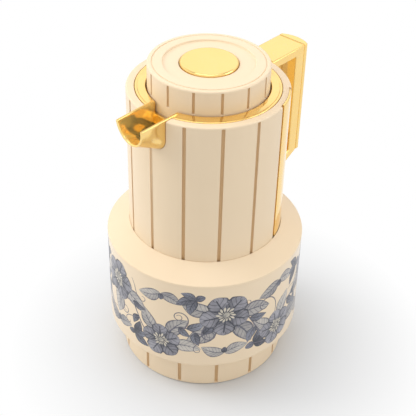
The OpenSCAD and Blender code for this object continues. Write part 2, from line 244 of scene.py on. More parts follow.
def flute_angles(width, turn=0):
    """Angles round a fluted body, close together at flutes that are width degrees wide."""
    near = (-1.25, -1.08, -1, -0.98, -0.93, -0.8, -0.5, 0, 0.5, 0.8, 0.93, 0.98, 1, 1.08, 1.25)
    angles = []
    for k in range(FLUTES):
        middle = turn + k * STAVE
        angles += [middle + n * width / 2 for n in near]
        start, span = middle + 0.65 * width, STAVE - 1.3 * width
        angles += [start + span * i / 9 for i in range(1, 9)]
    return angles


def fade(z, low, high, run):
    """1 between low and high, fading to 0 over run at both ends."""
    return max(0, min(1, (z - low) / run + 1, (high - z) / run + 1))


def fluted(body_r, low, high, run, width, depth, turn=0):
    """Makes the radius function of a body with round-bottomed flutes between two heights."""
    def radius_at(angle, r, z):
        if r < body_r - SKIN:
            return r
        across = abs((angle - turn + STAVE / 2) % STAVE - STAVE / 2) / (width / 2)
        return r - fade(z, low, high, run) * depth * max(0, 1 - across ** 2) ** 0.3
    return radius_at


def seat(piece, body, slot, *nodes):
    """The piece rides on a body and stands for CAD nodes, which are hidden; slot is not used."""
    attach(piece, body)
    if nodes:
        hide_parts(*nodes)


# The cream moulding, with painted shade in its flutes.
cream_plastic = moulded_plastic("cream_plastic", CREAM, CREAM_SHADE, 0.36, 0.00002)
foot_outline = rounded([
    (0, PAD_SEAT), (FOOT_IN_R, PAD_SEAT, 0.3), (FOOT_IN_R, FOOT_LOW, 0.3), (FOOT_R, FOOT_LOW, 0.9),
    (FOOT_R, 1.5), (FOOT_R, FOOT_FLUTE_LOW), (FOOT_R, FOOT_FLUTE_TOP), (FOOT_R, 28.8),
    (FOOT_R, FOOT_TOP, 0.3), (SPIGOT_R, FOOT_TOP), (SPIGOT_R, SPIGOT_TOP, 0.4),
    (SPIGOT_IN_R, SPIGOT_TOP, 0.4), (SPIGOT_IN_R, 28), (FOOT_IN_R, 28), (FOOT_IN_R, 5, 1),
    (20, 5, 0.6), (20, 12, 0.6), (0, 12)])
foot_flutes = fluted(FOOT_R, FOOT_FLUTE_LOW, FOOT_FLUTE_TOP, 0.8, FOOT_FLUTE_WIDTH, FOOT_FLUTE_DEPTH)
foot = turned("foot", foot_outline, cream_plastic, flute_angles(FOOT_FLUTE_WIDTH), foot_flutes)
seat(foot, "case", "cream_plastic", "base_cover")

# The foot pad. A dark rubber disc pressed into the foot's underside, with shallow
# rings moulded in its lower face so that it doesn't slip on a wet table.
PAD_R = 56
RING_PITCH = 5
RING_DEPTH = 0.5


def pad_outline():
    """The pad's half section, with its rings under it."""
    under = [(0, 0)]
    for k in range(1, 11):
        r = k * RING_PITCH
        under += [(r - 1.0, 0), (r - 0.6, RING_DEPTH), (r + 0.6, RING_DEPTH), (r + 1.0, 0)]
    return under + rounded([(PAD_R, 0, 0.6), (PAD_R, PAD_SEAT), (0, PAD_SEAT)])


rubber = moulded_plastic("rubber", (0.028, 0.026, 0.024, 1), (0.045, 0.042, 0.038, 1), 0.72, 0.00006)
pad = turned("foot_pad", pad_outline(), rubber)
seat(pad, "case", "rubber", "base_pad")

# The drum. The wide lower casing, one cream moulding with a sloped shoulder that
# the neck rises through; a shallow recess round its side takes the printed sleeve.
DRUM_R = 75
SHOULDER_EDGE = 110.9
NECK_FOOT = 120
NECK_R = 57.8
NECK_SEAT_R = NECK_R + 0.05
SOCKET_R = SPIGOT_R + 0.05
SOCKET_OUT_R = 63.5
WEB_IN_R = 55
WEB_LOW = 44
WEB_TOP = 46.4
SLEEVE_LOW = 32.3
SLEEVE_HIGH = 109.6
RECESS_R = 74.2
DRUM_IN_R = 71.8
DRUM_FLOOR = 33.1
drum_outline = rounded([
    (SOCKET_R, FOOT_TOP), (DRUM_R, FOOT_TOP, 1.5), (DRUM_R, SLEEVE_LOW, 0.12), (RECESS_R, SLEEVE_LOW),
    (RECESS_R, SLEEVE_HIGH), (DRUM_R, SLEEVE_HIGH, 0.12), (DRUM_R, SHOULDER_EDGE, 1.1),
    (NECK_SEAT_R, NECK_FOOT, 0.3), (NECK_SEAT_R, 117.3), (DRUM_IN_R, 109.8, 1),
    (DRUM_IN_R, DRUM_FLOOR, 1), (SOCKET_OUT_R, DRUM_FLOOR, 0.5), (SOCKET_OUT_R, WEB_TOP),
    (WEB_IN_R, WEB_TOP), (WEB_IN_R, WEB_LOW), (SOCKET_R, WEB_LOW)])
drum = turned("drum", drum_outline, cream_plastic)
seat(drum, "case", "cream_plastic", "drum_casing")

# The sleeve. A thin printed film that is shrunk into the recess of the drum. It is
# glossier than the mouldings.
SLEEVE_R = 74.93
SLEEVE_IN_R = 74.25
sleeve_film = moulded_plastic("sleeve_film", CREAM, CREAM_SHADE, 0.3, 0.00001, Coat_Weight=0.5)
sleeve_outline = rounded([
    (SLEEVE_IN_R, SLEEVE_LOW), (SLEEVE_R, SLEEVE_LOW, 0.1), (SLEEVE_R, SLEEVE_HIGH, 0.1),
    (SLEEVE_IN_R, SLEEVE_HIGH)], 2)
sleeve = turned("sleeve", sleeve_outline, sleeve_film, [i / 2 for i in range(720)])
seat(sleeve, "case", "printed_sleeve", "decor_sleeve")

# The print. Slate-blue blossoms, veined leaves and curling tendrils in thin layers of
# ink on the sleeve. Each motif is drawn once, flat, and stamped along the band; the
# flat print is then rolled round the drum.
INK_R = 74.955
INK_THICK = 0.02
BLOSSOMS = 10
PETALS = 5
STAMENS = 14
BLOSSOM_ROWS = (86, 54)
BLOSSOM_SIZES = (1.1, 0.96)
GIRTH = math.tau * INK_R
LIFT_STEP = 0.001
VINE_LIFT = 0.004
BLADE_LIFT = 0.008
BUD_LIFT = 0.009
LINE_LIFT = 0.0105
PETAL_LIFT = 0.012
STAMEN_LIFT = 0.022
HEART_LIFT = 0.024
draw = random.Random(11).uniform


def stamp(name, length, half_width, bow, rows, across, notch=0):
    """A flat motif along +X: half_width(u) at u from its foot to its tip, bowed sideways
    and notched at its tip."""
    points, marks = [], []
    for level in (0, -INK_THICK):
        for i in range(rows + 1):
            u = i / rows
            for j in range(across + 1):
                v = 2 * j / across - 1
                dip = notch * u ** 6 * max(0, 1 - 2.2 * abs(v))
                points.append((length * u - dip, v * half_width(u) + bow * math.sin(math.pi * u), level))
                marks.append((u, v, 0))
    return slab(name, points, marks, rows, across)


def ribbon(name, line, width, rows):
    """A flat line of ink along the points, tapering to both ends."""
    line = spread(line, rows + 1)
    points, marks = [], []
    for level in (0, -INK_THICK):
        for i, (x, y) in enumerate(line):
            before, after = line[max(i - 1, 0)], line[min(i + 1, rows)]
            along = math.atan2(after[1] - before[1], after[0] - before[0])
            half = width / 2 * (0.35 + 0.65 * math.sin(math.pi * (0.08 + 0.84 * i / rows)))
            for v in (-1, 1):
                points.append((x - v * half * math.sin(along), y + v * half * math.cos(along), level))
                marks.append((i / rows, v * 0.5, 0))
    return slab(name, points, marks, rows, 1)


def slab(name, points, marks, rows, across):
    """A closed thin mesh over two grids of points, with its marks kept for the ink."""
    wide = across + 1
    low = (rows + 1) * wide
    faces = []
    for i in range(rows):
        for j in range(across):
            a = i * wide + j
            faces.append((a, a + wide, a + wide + 1, a + 1))
            faces.append((low + a, low + a + 1, low + a + wide + 1, low + a + wide))
        for a, b in ((i * wide + wide, i * wide), (i * wide + across, i * wide + wide + across)):
            faces.append((a, b, low + b, low + a))
    for j in range(across):
        faces.append((j, j + 1, low + j + 1, low + j))
        a = rows * wide + j
        faces.append((a + 1, a, low + a, low + a + 1))
    mesh = bpy.data.meshes.new(name)
    mesh.from_pydata([tuple(c * MM for c in p) for p in points], [], faces)
    mark = mesh.attributes.new("mark", "FLOAT_VECTOR", "POINT")
    mark.data.foreach_set("vector", [c for m in marks for c in m])
    mesh.shade_smooth()
    mesh.set_sharp_from_angle(angle=math.radians(40))
    return bpy.data.objects.new(name, mesh)


def spread(line, count):
    """The same line with count evenly spaced points."""
    line = line[:1] + [b for a, b in zip(line, line[1:]) if math.dist(a, b) > 1e-6]
    reach = [0]
    for a, b in zip(line, line[1:]):
        reach.append(reach[-1] + math.dist(a, b))
    even = []
    at = 0
    for i in range(count):
        want = reach[-1] * i / (count - 1)
        while at < len(reach) - 2 and reach[at + 1] < want:
            at += 1
        share = (want - reach[at]) / (reach[at + 1] - reach[at])
        even.append(tuple(p + (q - p) * share for p, q in zip(line[at], line[at + 1])))
    return even


def maths(tree, operation, *values):
    """A math node's result; each value is a number or another node's output."""
    node = add(tree, "ShaderNodeMath", operation)
    for socket, value in zip(node.inputs, values):
        if isinstance(value, (int, float)):
            socket.default_value = value
        else:
            tree.links.new(value, socket)
    return node.outputs["Value"]


def geometry_tree(name, output, **inputs):
    """A new Geometry Nodes tree with named inputs and one geometry output."""
    tree = bpy.data.node_groups.new(name, "GeometryNodeTree")
    for key, kind in inputs.items():
        tree.interface.new_socket(key.replace("_", " "), in_out="INPUT",
                                  socket_type="NodeSocket" + kind)
    tree.interface.new_socket(output, in_out="OUTPUT", socket_type="NodeSocketGeometry")
    return tree, add(tree, "NodeGroupInput"), add(tree, "NodeGroupOutput")


def baked(piece):
    """A new mesh of the piece with its modifiers applied."""
    bpy.context.view_layer.update()
    return bpy.data.meshes.new_from_object(piece.evaluated_get(bpy.context.evaluated_depsgraph_get()))


def grow(piece, tree, **inputs):
    """Runs the tree on the piece and keeps the result as a plain mesh."""
    modifier = piece.modifiers.new(tree.name, "NODES")
    modifier.node_group = tree
    for key, value in inputs.items():
        modifier[tree.interface.items_tree[key.replace("_", " ")].identifier] = value
    piece.data = baked(piece)
    piece.modifiers.clear()


def roll_round_drum():
    """Geometry Nodes: stamps a motif on every point, then rolls the flat print up."""
    tree, given, result = geometry_tree("roll_round_drum", "Print", Places="Geometry", Motif="Object",
                                        Drum_radius="Float", Ink="Material")

    def field(name):
        return add(tree, "GeometryNodeInputNamedAttribute", Name=name).outputs["Attribute"]

    motif = add(tree, "GeometryNodeObjectInfo")
    turn, rolled = add(tree, "ShaderNodeCombineXYZ"), add(tree, "ShaderNodeCombineXYZ")
    rotation = add(tree, "FunctionNodeEulerToRotation")
    stamped = add(tree, "GeometryNodeInstanceOnPoints")
    real = add(tree, "GeometryNodeRealizeInstances")
    position = add(tree, "GeometryNodeInputPosition")
    flat = add(tree, "ShaderNodeSeparateXYZ")
    moved = add(tree, "GeometryNodeSetPosition")
    inked = add(tree, "GeometryNodeSetMaterial")
    drum_radius = given.outputs["Drum radius"]
    angle = maths(tree, "DIVIDE", flat.outputs["X"], drum_radius)
    radius = maths(tree, "ADD", maths(tree, "ADD", flat.outputs["Z"], field("lift")), drum_radius)
    for key, circle in (("X", "COSINE"), ("Y", "SINE")):
        tree.links.new(maths(tree, "MULTIPLY", radius, maths(tree, circle, angle)), rolled.inputs[key])
    tree.links.new(field("turn"), turn.inputs["Z"])
    tree.links.new(field("size"), stamped.inputs["Scale"])
    wire(tree, (given, "Motif", motif, "Object"), (turn, "Vector", rotation, "Euler"),
         (given, "Places", stamped, "Points"), (motif, "Geometry", stamped, "Instance"),
         (rotation, "Rotation", stamped, "Rotation"), (stamped, "Instances", real, "Geometry"),
         (position, "Position", flat, "Vector"), (flat, "Y", rolled, "Z"),
         (real, "Geometry", moved, "Geometry"), (rolled, "Vector", moved, "Position"),
         (moved, "Geometry", inked, "Geometry"), (given, "Ink", inked, "Material"),
         (inked, "Geometry", result, "Print"))
    return tree


ROLL = roll_round_drum()


def printed(name, motif, places, finish):
    """Stamps the motif at each place, (along, height, turn, size, lift, tone), round the drum."""
    mesh = bpy.data.meshes.new(name)
    mesh.from_pydata([(p[0] * MM, p[1] * MM, 0) for p in places], [], [])
    for at, key, scale in ((2, "turn", 1), (3, "size", 1), (4, "lift", MM), (5, "tone", 1)):
        values = mesh.attributes.new(key, "FLOAT", "POINT")
        values.data.foreach_set("value", [p[at] * scale for p in places])
    piece = linked(name, mesh)
    grow(piece, ROLL, Motif=motif, Drum_radius=INK_R * MM, Ink=finish)
    bpy.data.objects.remove(motif)
    seat(piece, "case", "printed_sleeve")


def ink(name, deep, pale, veins, foot_dark):
    """Printing ink with a rib, side veins, a darker edge and a watery drift of tone."""
    material, tree, skin = new_material(name)
    fill(skin, Roughness=0.3)

    def ramp(source, low, high, first, last):
        node = add(tree, "ShaderNodeMapRange", From_Min=low, From_Max=high, To_Min=first, To_Max=last)
        tree.links.new(source, node.inputs["Value"])
        return node.outputs["Result"]

    mark = add(tree, "ShaderNodeSeparateXYZ")
    wire(tree, (named_value(tree, "mark"), "Vector", mark, "Vector"))
    u, v = mark.outputs["X"], mark.outputs["Y"]
    side = maths(tree, "ABSOLUTE", v)
    slant = maths(tree, "SUBTRACT", maths(tree, "MULTIPLY", u, veins), maths(tree, "MULTIPLY", side, 1.5))
    place = add(tree, "ShaderNodeTexCoord")
    water = add(tree, "ShaderNodeTexNoise", Scale=260, Detail=4)
    rib = ramp(side, 0.02, 0.10, 0.75, 0)
    vein = ramp(maths(tree, "PINGPONG", slant, 0.5), 0.0, 0.12, 0.6, 0)
    edge = ramp(side, 0.76, 1.0, 0, 0.8)
    foot = ramp(u, 0.0, 0.6, foot_dark, 0)
    half = ramp(v, -0.4, 0.4, 0.0, 0.16)
    wash = ramp(water.outputs["Fac"], 0.3, 0.7, 0, 0.3)
    dark = named_value(tree, "tone").outputs["Fac"]
    for part in (rib, vein, edge, foot, half, wash):
        dark = maths(tree, "ADD", dark, part)
    mix = colour_mix(tree, A=pale, B=deep)
    tree.links.new(ramp(dark, 0.05, 1.1, 0, 1), mix.inputs["Factor"])
    wire(tree, (place, "Object", water, "Vector"), (mix, "Result", skin, "Base Color"))
    return material


SLATE = (0.05, 0.053, 0.07, 1)
petal_ink = ink("petal_ink", SLATE, (0.40, 0.39, 0.43, 1), 5, 0.95)
bud_ink = ink("bud_ink", SLATE, (0.24, 0.25, 0.31, 1), 3, 0.5)
leaf_ink = ink("leaf_ink", (0.10, 0.105, 0.14, 1), (0.60, 0.555, 0.50, 1), 7, 0.2)
dark_leaf_ink = ink("dark_leaf_ink", SLATE, (0.30, 0.31, 0.37, 1), 5, 0.5)
line_ink = ink("line_ink", (0.12, 0.115, 0.15, 1), (0.26, 0.24, 0.27, 1), 1, 0)
stamen_ink = ink("stamen_ink", (0.20, 0.20, 0.20, 1), (0.78, 0.70, 0.56, 1), 1, 0.4)

blossoms, petals, stamens, broad_leaves, blades, buds, curls, loops = ([] for _ in range(8))
for k in range(BLOSSOMS):
    along = GIRTH * (k + 0.5) / BLOSSOMS + draw(-4, 4)
    height = BLOSSOM_ROWS[k % 2] + draw(-4, 3)
    size = BLOSSOM_SIZES[k % 2] * draw(0.95, 1.06)
    turn = draw(0, 1)
    blossoms.append((along, height, turn, size, HEART_LIFT, 0.3))
    for i in range(PETALS):
        way = turn + math.tau * i / PETALS + draw(-0.08, 0.08)
        petals.append((along, height, way, size * draw(0.94, 1.05), PETAL_LIFT + LIFT_STEP * i,
                       draw(0, 0.3)))
    for i in range(STAMENS):
        way = turn + math.tau * i / STAMENS
        stamens.append((along, height, way, size * draw(0.8, 1.25), STAMEN_LIFT, 0))
    for i in range(PETALS):
        way = turn + math.tau * (i + 0.5) / PETALS + draw(-0.25, 0.25)
        start = 9 * size
        broad_leaves.append((along + start * math.cos(way), height + start * math.sin(way), way,
                             draw(0.7, 1.0), LIFT_STEP * i, draw(-0.15, 0.3)))
    far, lean = ((44, 0.3), (98, -0.3))[k % 2]
    for way in (lean, math.pi - lean):
        broad_leaves.append((along, far, way + draw(-0.12, 0.12), draw(0.58, 0.74),
                             6 * LIFT_STEP, draw(0, 0.4)))
    way = math.copysign(math.pi / 2, lean)
    buds.append((along, far, way, draw(0.7, 0.9), BUD_LIFT, draw(0.1, 0.5)))
    middle = along + GIRTH / BLOSSOMS / 2
    foot_x, foot_z = middle + draw(-5, 5), (47, 95)[k % 2] + draw(-3, 3)
    way = (k % 2) * math.pi + draw(-0.5, 0.5)
    for i in (-1, 0, 1):
        blades.append((foot_x, foot_z, way + 0.85 * i, draw(0.85, 1.2), BLADE_LIFT, draw(0.1, 0.6)))
    buds.append((foot_x, foot_z, way + math.pi, draw(0.8, 1.1), BUD_LIFT, draw(0, 0.4)))
    curls.append((along + (13, -13)[k % 4 // 2] + draw(-3, 3), (61, 80)[k % 2],
                  (1, -1)[k % 2] * draw(0.3, 2.8), draw(0.9, 1.1), LINE_LIFT, 0.5))
    for row in (90, 50):
        loops.append((middle + draw(-12, 12), row + draw(-9, 9), draw(0, 6.28),
                      draw(0.7, 1.0), LINE_LIFT, 0.4))

vines = []
for k in range(BLOSSOMS):
    a, b = blossoms[k], blossoms[(k + 1) % BLOSSOMS]
    gap = (b[0] - a[0]) % GIRTH
    vines.append([(a[0] + gap * t, a[1] + (b[1] - a[1]) * t + 9 * math.sin(math.tau * t))
                  for t in [i / 24 for i in range(25)]])
    for i in (7, 10, 13, 16):
        (x, z), (next_x, next_z) = vines[k][i:i + 2]
        way = math.atan2(next_z - z, next_x - x) + (0.95, -0.95)[i % 2]
        blades.append((x, z, way, draw(0.85, 1.15), BLADE_LIFT - LIFT_STEP, draw(0, 0.5)))


def inside(places, reach):
    """Only the places whose motif ends on the film."""
    kept = []
    for place in places:
        tip = place[1] + reach * place[3] * math.sin(place[2])
        if SLEEVE_LOW + 3 < min(tip, place[1]) and max(tip, place[1]) < SLEEVE_HIGH - 3:
            kept.append(place)
    return kept


def tendril(length, bend, wind):
    """The points of a tendril whose tail comes in from +X and winds up round the origin."""
    x = y = heading = 0
    points = [(x, y)]
    steps = 120
    for i in range(steps):
        step = length / steps
        heading += (bend + wind * (i / steps) ** 2) * step
        x, y = x + step * math.cos(heading), y + step * math.sin(heading)
        points.append((x, y))
    reach = math.hypot(x, y)
    c, s = -x / reach, -y / reach
    return [((px - x) * c + (py - y) * s, (py - y) * c - (px - x) * s) for px, py in points]


def leaf_shape(half, skew, fullness, ruffle=0):
    """The half width of a leaf or petal from its foot to its tip."""
    return lambda u: (0.05 + half * math.sin(math.pi * u ** skew) ** fullness
                      * (1 + ruffle * math.sin(26 * u)))


def stamen_shape(u):
    return 0.2 + 0.55 * max(0, math.sin(math.pi * (u * 1.9 - 0.95)))


petal = stamp("petal", 17, leaf_shape(7.6, 1.5, 0.62, 0.04), 0, 26, 12, 2.2)
broad_leaf = stamp("broad_leaf", 30, leaf_shape(8.2, 0.8, 0.85), 2.5, 30, 12)
blade = stamp("blade", 14, leaf_shape(3.6, 0.75, 0.9), -1.2, 16, 8)
bud = stamp("bud", 8, leaf_shape(3.2, 0.8, 0.6), 0.4, 14, 8, 1.2)
stamen = stamp("stamen", 6, stamen_shape, 0.4, 14, 2)
heart = stamp("heart", 4.4, leaf_shape(2.2, 1, 0.5), 0, 10, 6)
curl = ribbon("curl", tendril(60, 0.03, 0.42), 0.9, 140)
loop = ribbon("loop", tendril(34, -0.06, 0.6), 0.8, 90)
printed("print_broad_leaves", broad_leaf, inside(broad_leaves, 26), leaf_ink)
printed("print_blades", blade, inside(blades, 12), dark_leaf_ink)
printed("print_buds", bud, inside(buds, 8), bud_ink)
printed("print_curls", curl, inside(curls, 28), line_ink)
printed("print_loops", loop, inside(loops, 20), line_ink)
for k, line in enumerate(vines):
    vine = ribbon("vine", line, 1.1, 60)
    printed(f"print_vine_{k}", vine, [(0, 0, 0, 1, VINE_LIFT, 0.5)], line_ink)
printed("print_petals", petal, petals, petal_ink)
printed("print_stamens", stamen, stamens, stamen_ink)
hearts = [(b[0] - 2 * math.cos(b[2]), b[1] - 2 * math.sin(b[2])) + b[2:] for b in blossoms]
printed("print_hearts", heart, hearts, stamen_ink)

# The neck. A tall cream casing fluted into fourteen staves, standing on the drum's
# inner collar. Its top lip carries the plated collar, one stave on each side is
# recessed for a trim strip, and a U is cut out of it for the spout.
NECK_IN_R = 55.4
RIM = 232.6
RIM_IN_R = 51.9
LEDGE = 229.6
LEDGE_LOW = 227.2
LEDGE_IN_R = 49
FLUTE_TOP = 230.6
FLUTE_WIDTH = 2.5
FLUTE_DEPTH = 1.6
STRIP_FLOOR = 56.1
STRIP_GAP = 1.39
SPOUT_HALF = 12.3
SPOUT_ROOT = 208.7
SPOUT_CORNER = 8.5
CUT_ROOM = 0.3


def in_strip(angle):
    """Whether a trim strip's recess is at that angle."""
    off_spout = abs((angle + 180) % 360 - 180)
    return 2 * STAVE - STRIP_GAP < off_spout < 3 * STAVE + STRIP_GAP


def neck_radius(angle, r, z):
    """The neck's radius, with its flutes and the recesses for the strips."""
    if in_strip(angle):
        return min(r, STRIP_FLOOR + 0.1 * (r - STRIP_FLOOR) / (NECK_R - STRIP_FLOOR))
    return neck_flutes(angle, r, z)


def u_outline(half, bottom, corner, top, steps=6):
    """The U of the spout's root, from its top on one side to its top on the other."""
    side = [(half, top)]
    for k in range(steps + 1):
        turn = math.pi / 2 * k / steps
        side.append((half - corner + corner * math.cos(turn), bottom + corner - corner * math.sin(turn)))
    return side + [(-y, z) for y, z in reversed(side)]


def cut_away(piece, cutter):
    """Cuts the cutter's solid out of a turned piece and drops the cutter."""
    piece.modifiers.clear()
    trim = piece.modifiers.new("cut", "BOOLEAN")
    trim.operation = "DIFFERENCE"
    trim.solver = "EXACT"
    trim.object = cutter
    piece.data = baked(piece)
    piece.data.set_sharp_from_angle(angle=math.radians(SHARP))
    piece.modifiers.clear()
    even_shading(piece)
    bpy.data.objects.remove(cutter)


def tube_faces(size, rings):
    """Faces round that many rings of size points each, with both ends closed."""
    faces = [tuple(range(size)), tuple(range((rings - 1) * size, rings * size))]
    for i in range(rings - 1):
        for j in range(size):
            k = (j + 1) % size
            faces.append((i * size + j, i * size + k, (i + 1) * size + k, (i + 1) * size + j))
    return faces


def prism(name, low, high, finish):
    """A solid between two like rings of points."""
    return solid(name, low + high, tube_faces(len(low), 2), finish)


neck_flutes = fluted(NECK_R, 0, FLUTE_TOP, 0.8, FLUTE_WIDTH, FLUTE_DEPTH)
neck_outline = rounded([
    (NECK_IN_R, WEB_TOP), (NECK_R, WEB_TOP), (NECK_R, 118), (NECK_R, FLUTE_TOP), (NECK_R, RIM, 1.3),
    (RIM_IN_R, RIM, 0.4), (RIM_IN_R, LEDGE), (LEDGE_IN_R, LEDGE), (LEDGE_IN_R, LEDGE_LOW),
    (NECK_IN_R, LEDGE_LOW)])
neck_angles = {round(a, 4) for a in flute_angles(FLUTE_WIDTH)}
for k, gap in ((2, -STRIP_GAP), (3, STRIP_GAP)):
    for side in (-1, 1):
        neck_angles |= {round(side * (k * STAVE + gap + slit) % 360, 4) for slit in (-0.01, 0.01)}
neck = turned("neck", neck_outline, cream_plastic, sorted(neck_angles), neck_radius)
root = u_outline(SPOUT_HALF + CUT_ROOM, SPOUT_ROOT - CUT_ROOM, SPOUT_CORNER + CUT_ROOM, 240)
root_rings = [[(x, y, z) for y, z in root] for x in (-40, -62)]
cut_away(neck, prism("u_cutter", *root_rings, cream_plastic))
seat(neck, "case", "cream_plastic", "neck_casing")

# The trim strips. Two mirror-plated strips lie in the neck's recesses, one stave
# wide, and turn over the rim's edge at the top.
STRIP_BACK = 56.25
GOLD = (0.96, 0.68, 0.23, 1)
GOLD_DEEP = (0.95, 0.62, 0.17, 1)
# The paler gold painted inside the spout as painted light.
GOLD_PAINTED_LIGHT = (1.0, 0.76, 0.27, 1)
GOLD_TINT = (1.0, 0.84, 0.46, 1)


def plated(name):
    """Bright lacquered plating on plastic: the slight waviness of the moulding shows, and where the mesh is
    marked, inside the spout, painted light makes the gold paler and less metallic.
    """
    material = grained(name, (GOLD, GOLD_DEEP, GOLD_PAINTED_LIGHT), (45, 38), (0.06, 0.14), 1, 0.0012,
                       Specular_Tint=GOLD_TINT, Coat_Weight=0.8, Coat_IOR=1.8, Coat_Roughness=0.05)
    tree = material.node_tree
    # Painted light: the gold is less metallic where the mesh is marked, inside the spout.
    painted_light_metallic = add(tree, "ShaderNodeMapRange", To_Min=0.85, To_Max=0.65)
    wire(tree, (named_value(tree, "hollow_painted_light"), "Fac", painted_light_metallic, "Value"),
         (painted_light_metallic, "Result", tree.nodes["Principled BSDF"], "Metallic"))
    return material


def soften(piece, width):
    """Rounds a piece's sharp edges."""
    bevel = piece.modifiers.new("soft edges", "BEVEL")
    bevel.width = width * MM
    bevel.segments = 3
    bevel.limit_method = "ANGLE"
    bevel.angle_limit = math.radians(SHARP)
    bevel.harden_normals = True
    even_shading(piece)


def sector(name, outline, first, last, finish, steps, edge):
    """An outline taken part of the way round the axis, closed and softened at its ends."""
    points = []
    for i in range(steps + 1):
        angle = math.radians(first + (last - first) * i / steps)
        points += [(r * math.cos(angle), r * math.sin(angle), z) for r, z in outline]
    piece = solid(name, points, tube_faces(len(outline), steps + 1), finish)
    soften(piece, edge)
    return piece


gold_plate = plated("gold_plate")
strip_outline = rounded([
    (STRIP_BACK, NECK_FOOT), (NECK_R, NECK_FOOT), (NECK_R, RIM, 1.3), (STRIP_BACK, RIM)], 3)
for side, name in ((-1, "trim_strip_left"), (1, "trim_strip_right")):
    edges = [side * (2 * STAVE + STRIP_GAP), side * (3 * STAVE - STRIP_GAP)]
    strip = sector(name, strip_outline, min(edges), max(edges), gold_plate, 16, 0.3)
    seat(strip, "case", "gold_plate", name)

# The collar. A plated ring that drops into the neck's lip. Its bead stands proud of
# the rim, its face slopes in to the stopper well, and it is open where the spout
# leaves; the well's floor seats the mouth ring.
COLLAR_R = 51.6
COLLAR_LOW = 211
BEAD_TOP = 232.9
WELL_R = 43.9
WELL_FLOOR = 212
WELL_UNDER = 210
FLOOR_IN_R = 27.25
WALL = 1.8
GUARD_LOW = 217
GUARD_TOP = 225
mouth_angle = math.degrees(math.asin((SPOUT_HALF - WALL / 2) / LEDGE_IN_R))
guard_half = math.degrees(math.asin((SPOUT_HALF - WALL / 2) / (WELL_R + WALL / 2)))
collar_outline = rounded([
    (WELL_R + WALL, COLLAR_LOW), (WELL_R + WALL, LEDGE), (COLLAR_R, LEDGE), (COLLAR_R, BEAD_TOP, 0.7),
    (50.1, BEAD_TOP, 0.6), (49.4, BEAD_TOP - 0.5, 0.4), (46.8, BEAD_TOP, 6), (WELL_R, BEAD_TOP + 0.2, 0.6),
    (WELL_R, COLLAR_LOW)])
collar = sector("collar", collar_outline, mouth_angle - 180, 180 - mouth_angle, gold_plate, 160, 0.15)
guard_outline = [
    (WELL_R, GUARD_LOW), (WELL_R + WALL, GUARD_LOW), (WELL_R + WALL, GUARD_TOP), (WELL_R, GUARD_TOP)]
guard = sector("spout_guard", guard_outline, 179 - guard_half, 181 + guard_half, gold_plate, 12, 0.3)
floor_outline = rounded([
    (FLOOR_IN_R, WELL_UNDER), (WELL_R + WALL, WELL_UNDER), (WELL_R + WALL, WELL_FLOOR),
    (FLOOR_IN_R, WELL_FLOOR)])
well_floor = turned("well_floor", floor_outline, gold_plate)
for part in (collar, guard, well_floor):
    seat(part, "case", "gold_plate", "spout_collar")

# The spout. One moulding with the collar: straight sides, a round lip that leans out
# over the drip edge, and a floor that falls back into the well.
SPOUT_REACH = 78.2
SPOUT_TOP = 233.7
SPOUT_START = 43.8
LIP_MIDDLE = 233
LIP_DEPTH = 16.2
LIP_EDGE = 0.9
LIP_LEAN = 2.2
LIP_DROP = 16.7
AROUND = 36


def lip_outline(half, depth, top):
    """The lip's half ellipse, from its top on one side to its top on the other."""
    turns = [math.pi * i / 40 for i in range(41)]
    arc = [(half * math.cos(turn), LIP_MIDDLE - depth * math.sin(turn)) for turn in turns]
    return [(half, top)] + arc + [(-half, top)]


def trough_section(share, inset, top):
    """The trough's U at that share of the way from the neck to the lip."""
    root = u_outline(SPOUT_HALF - inset, SPOUT_ROOT + inset, SPOUT_CORNER - inset, top, 12)
    lip = lip_outline(SPOUT_HALF - 0.3 - inset, LIP_DEPTH - inset, top)
    pairs = zip(spread(root, AROUND), spread(lip, AROUND))
    return [tuple(a + (b - a) * share for a, b in zip(p, q)) for p, q in pairs]


def trough_ring(x, share, inset, wall):
    """A closed ring of points: down the outside of the U, and back up its inside."""
    edge = min(wall / 2 - 0.05, 0.7)
    outside = trough_section(share, inset, SPOUT_TOP - edge)
    inside = trough_section(share, inset + wall, SPOUT_TOP - edge)
    lean = [LIP_LEAN * share * (SPOUT_TOP - z) / LIP_DROP for _, z in outside]
    crest = []
    for out, into in ((outside[-1], inside[-1]), (inside[0], outside[0])):
        for k in range(1, 5):
            turn = math.pi * k / 5
            y = out[0] + (into[0] - out[0]) * (1 - math.cos(turn)) / 2
            crest.append((y, out[1] + edge * math.sin(turn)))
    ring = [(x + d, y, z) for d, (y, z) in zip(lean, outside)]
    ring += [(x, y, z) for y, z in crest[:4]]
    ring += [(x + d, y, z) for d, (y, z) in zip(reversed(lean), reversed(inside))]
    return ring + [(x, y, z) for y, z in crest[4:]]


stations = [(-x, 0, 0, WALL) for x in (SPOUT_START, 52, NECK_R)]
for i in range(1, 9):
    stations.append((-NECK_R - (SPOUT_REACH - LIP_EDGE - NECK_R) * i / 8, i / 8, 0, WALL))
for k in range(1, 5):
    turn = math.pi / 2 * k / 4
    slim = 0.85 * (1 - math.cos(turn))
    stations.append((-SPOUT_REACH + LIP_EDGE - LIP_EDGE * math.sin(turn), 1, slim, WALL - 2 * slim))
rings = [trough_ring(*station) for station in stations]
spout_faces = tube_faces(len(rings[0]), len(rings))
# The trough's inside is marked for painted light, a paler and less metallic gold.
painted_light_inside = [0] * (AROUND + 4) + [1] * AROUND + [0] * 4
spout = solid("spout", sum(rings, []), spout_faces, gold_plate, 50, painted_light_inside * len(rings))
seat(spout, "case", "gold_plate", "spout_collar")

